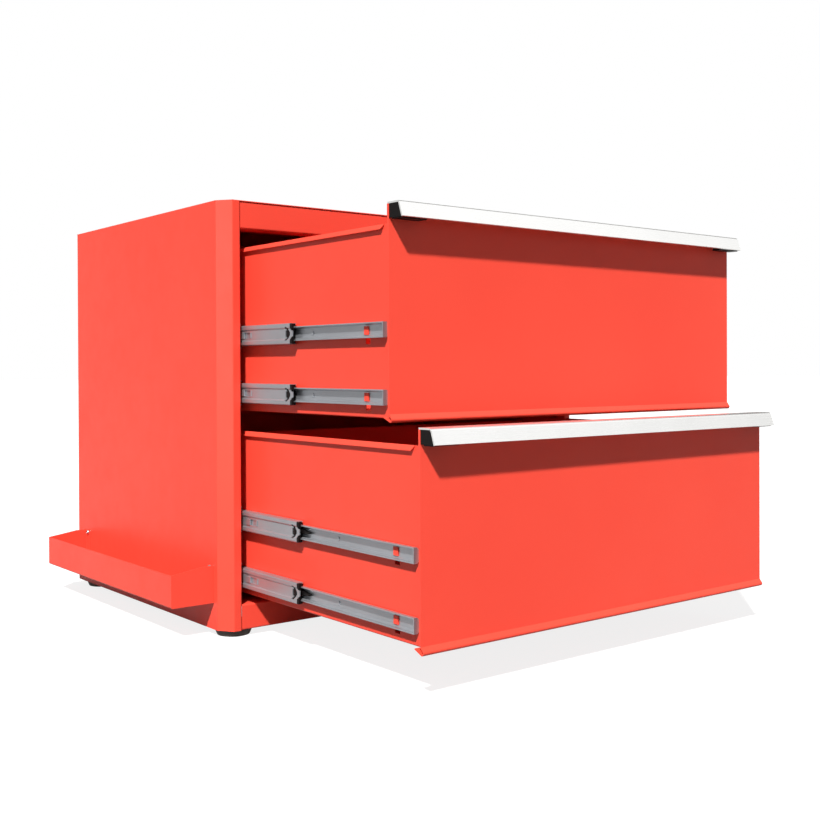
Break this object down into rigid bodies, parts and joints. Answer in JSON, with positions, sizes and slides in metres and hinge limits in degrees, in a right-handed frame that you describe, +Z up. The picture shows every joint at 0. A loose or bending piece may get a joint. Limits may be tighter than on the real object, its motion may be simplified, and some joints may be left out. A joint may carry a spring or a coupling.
{
  "type": "tool cabinet",
  "caption": "Low steel tool cabinet with drawers on ball-bearing slides, full width handles, a side tray and round feet.",
  "frame": {"origin": "on the floor, in the middle of the footprint of the whole part as stored, with both drawers open", "axes": "+Z up, +Y towards the back of the cabinet, so that the drawers open along -Y, and +X to the right of a person who faces the front"},
  "size_m": [0.6672, 0.826, 0.533],
  "materials": {
    "cabinet_paint": "gloss red powder coat",
    "zinc_steel": "bright zinc plated",
    "handle_aluminium": "satin anodised",
    "black_plastic": "moulded black",
    "foot_rubber": "dull black rubber"
  },
  "bodies": {
    "cabinet": {"left_side_panel": "cabinet_paint", "right_side_panel": "cabinet_paint", "top_panel": "cabinet_paint", "back_panel": "cabinet_paint", "floor_panel": "cabinet_paint", "top_rail": "cabinet_paint", "bottom_rail": "cabinet_paint", "front_left_slide_post": "cabinet_paint", "front_right_slide_post": "cabinet_paint", "rear_left_slide_post": "cabinet_paint", "rear_right_slide_post": "cabinet_paint", "front_left_foot": "foot_rubber", "front_right_foot": "foot_rubber", "rear_left_foot": "foot_rubber", "rear_right_foot": "foot_rubber", "foot_bolts": "zinc_steel", "side_tray": "cabinet_paint", "tray_screws": "zinc_steel", "lower_left_bottom_outer_slide": "zinc_steel", "lower_left_top_outer_slide": "zinc_steel", "lower_right_bottom_outer_slide": "zinc_steel", "lower_right_top_outer_slide": "zinc_steel", "upper_left_bottom_outer_slide": "zinc_steel", "upper_left_top_outer_slide": "zinc_steel", "upper_right_bottom_outer_slide": "zinc_steel", "upper_right_top_outer_slide": "zinc_steel"},
    "lower_drawer": {"lower_drawer_box": "cabinet_paint", "lower_drawer_front": "cabinet_paint", "lower_handle": "handle_aluminium", "lower_handle_left_cap": "black_plastic", "lower_handle_right_cap": "black_plastic", "lower_release_levers": "black_plastic", "lower_left_bottom_inner_slide": "zinc_steel", "lower_left_top_inner_slide": "zinc_steel", "lower_right_bottom_inner_slide": "zinc_steel", "lower_right_top_inner_slide": "zinc_steel"},
    "lower_middle_slides": {"lower_slide_bumpers": "black_plastic", "lower_left_bottom_middle_slide": "zinc_steel", "lower_left_top_middle_slide": "zinc_steel", "lower_right_bottom_middle_slide": "zinc_steel", "lower_right_top_middle_slide": "zinc_steel"},
    "lower_outer_cages": {"lower_outer_ball_cages": "zinc_steel"},
    "lower_inner_cages": {"lower_inner_ball_cages": "zinc_steel"},
    "upper_drawer": {"upper_drawer_box": "cabinet_paint", "upper_drawer_front": "cabinet_paint", "upper_handle": "handle_aluminium", "upper_handle_left_cap": "black_plastic", "upper_handle_right_cap": "black_plastic", "upper_release_levers": "black_plastic", "upper_left_bottom_inner_slide": "zinc_steel", "upper_left_top_inner_slide": "zinc_steel", "upper_right_bottom_inner_slide": "zinc_steel", "upper_right_top_inner_slide": "zinc_steel"},
    "upper_middle_slides": {"upper_slide_bumpers": "black_plastic", "upper_left_bottom_middle_slide": "zinc_steel", "upper_left_top_middle_slide": "zinc_steel", "upper_right_bottom_middle_slide": "zinc_steel", "upper_right_top_middle_slide": "zinc_steel"},
    "upper_outer_cages": {"upper_outer_ball_cages": "zinc_steel"},
    "upper_inner_cages": {"upper_inner_ball_cages": "zinc_steel"}
  },
  "joints": [
    {"name": "lower_drawer_slide", "type": "slide", "parent": "cabinet", "child": "lower_drawer", "axis": [0, -1, 0], "range_m": [-0.347, 0.053]},
    {"name": "lower_middle_slides_run", "type": "slide", "parent": "cabinet", "child": "lower_middle_slides", "axis": [0, -1, 0], "range_m": [-0.1735, 0.0265]},
    {"name": "lower_outer_cages_run", "type": "slide", "parent": "cabinet", "child": "lower_outer_cages", "axis": [0, -1, 0], "range_m": [-0.08675, 0.01325]},
    {"name": "lower_inner_cages_run", "type": "slide", "parent": "cabinet", "child": "lower_inner_cages", "axis": [0, -1, 0], "range_m": [-0.26025, 0.03975]},
    {"name": "upper_drawer_slide", "type": "slide", "parent": "cabinet", "child": "upper_drawer", "axis": [0, -1, 0], "range_m": [-0.2975, 0.1025]},
    {"name": "upper_middle_slides_run", "type": "slide", "parent": "cabinet", "child": "upper_middle_slides", "axis": [0, -1, 0], "range_m": [-0.14875, 0.05125]},
    {"name": "upper_outer_cages_run", "type": "slide", "parent": "cabinet", "child": "upper_outer_cages", "axis": [0, -1, 0], "range_m": [-0.07437, 0.02562]},
    {"name": "upper_inner_cages_run", "type": "slide", "parent": "cabinet", "child": "upper_inner_cages", "axis": [0, -1, 0], "range_m": [-0.22312, 0.07687]}
  ],
  "couplings": [
    {"joint": "lower_middle_slides_run", "follows": "lower_drawer_slide", "ratio": 0.5},
    {"joint": "lower_outer_cages_run", "follows": "lower_drawer_slide", "ratio": 0.25},
    {"joint": "lower_inner_cages_run", "follows": "lower_drawer_slide", "ratio": 0.75},
    {"joint": "upper_middle_slides_run", "follows": "upper_drawer_slide", "ratio": 0.5},
    {"joint": "upper_outer_cages_run", "follows": "upper_drawer_slide", "ratio": 0.25},
    {"joint": "upper_inner_cages_run", "follows": "upper_drawer_slide", "ratio": 0.75}
  ]
}
